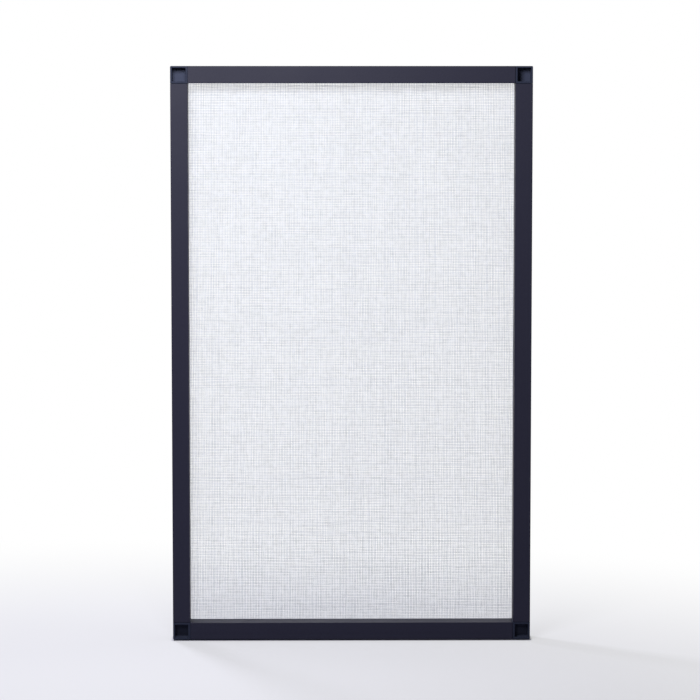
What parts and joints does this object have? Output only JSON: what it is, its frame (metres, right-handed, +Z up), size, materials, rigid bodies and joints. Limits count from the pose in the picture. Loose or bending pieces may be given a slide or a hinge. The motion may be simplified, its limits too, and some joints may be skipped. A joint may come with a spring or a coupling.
{
  "type": "window screen frame",
  "caption": "Upright window insect screen: hollow metal rails butt against moulded square corner keys with open front pockets, and a see-through woven mesh is held in a groove at the back.",
  "frame": {"origin": "middle of the bottom edge, half way through the depth", "axes": "+X to the right seen from the front, +Y from the front to the back, +Z up"},
  "size_m": [0.4, 0.027, 0.64],
  "materials": {
    "rail": "fine satin powder coat, charcoal",
    "corner_key": "moulded, dark navy, satin",
    "mesh": "coated glass-fibre yarn, mid grey",
    "spline": "matt vinyl cord, dark grey"
  },
  "bodies": {
    "root": {"top_rail": "rail", "bottom_rail": "rail", "left_rail": "rail", "right_rail": "rail", "corner_top_left": "corner_key", "corner_top_right": "corner_key", "corner_bottom_left": "corner_key", "corner_bottom_right": "corner_key", "insect_mesh": "mesh", "top_spline": "spline", "bottom_spline": "spline", "left_spline": "spline", "right_spline": "spline"}
  },
  "joints": []
}
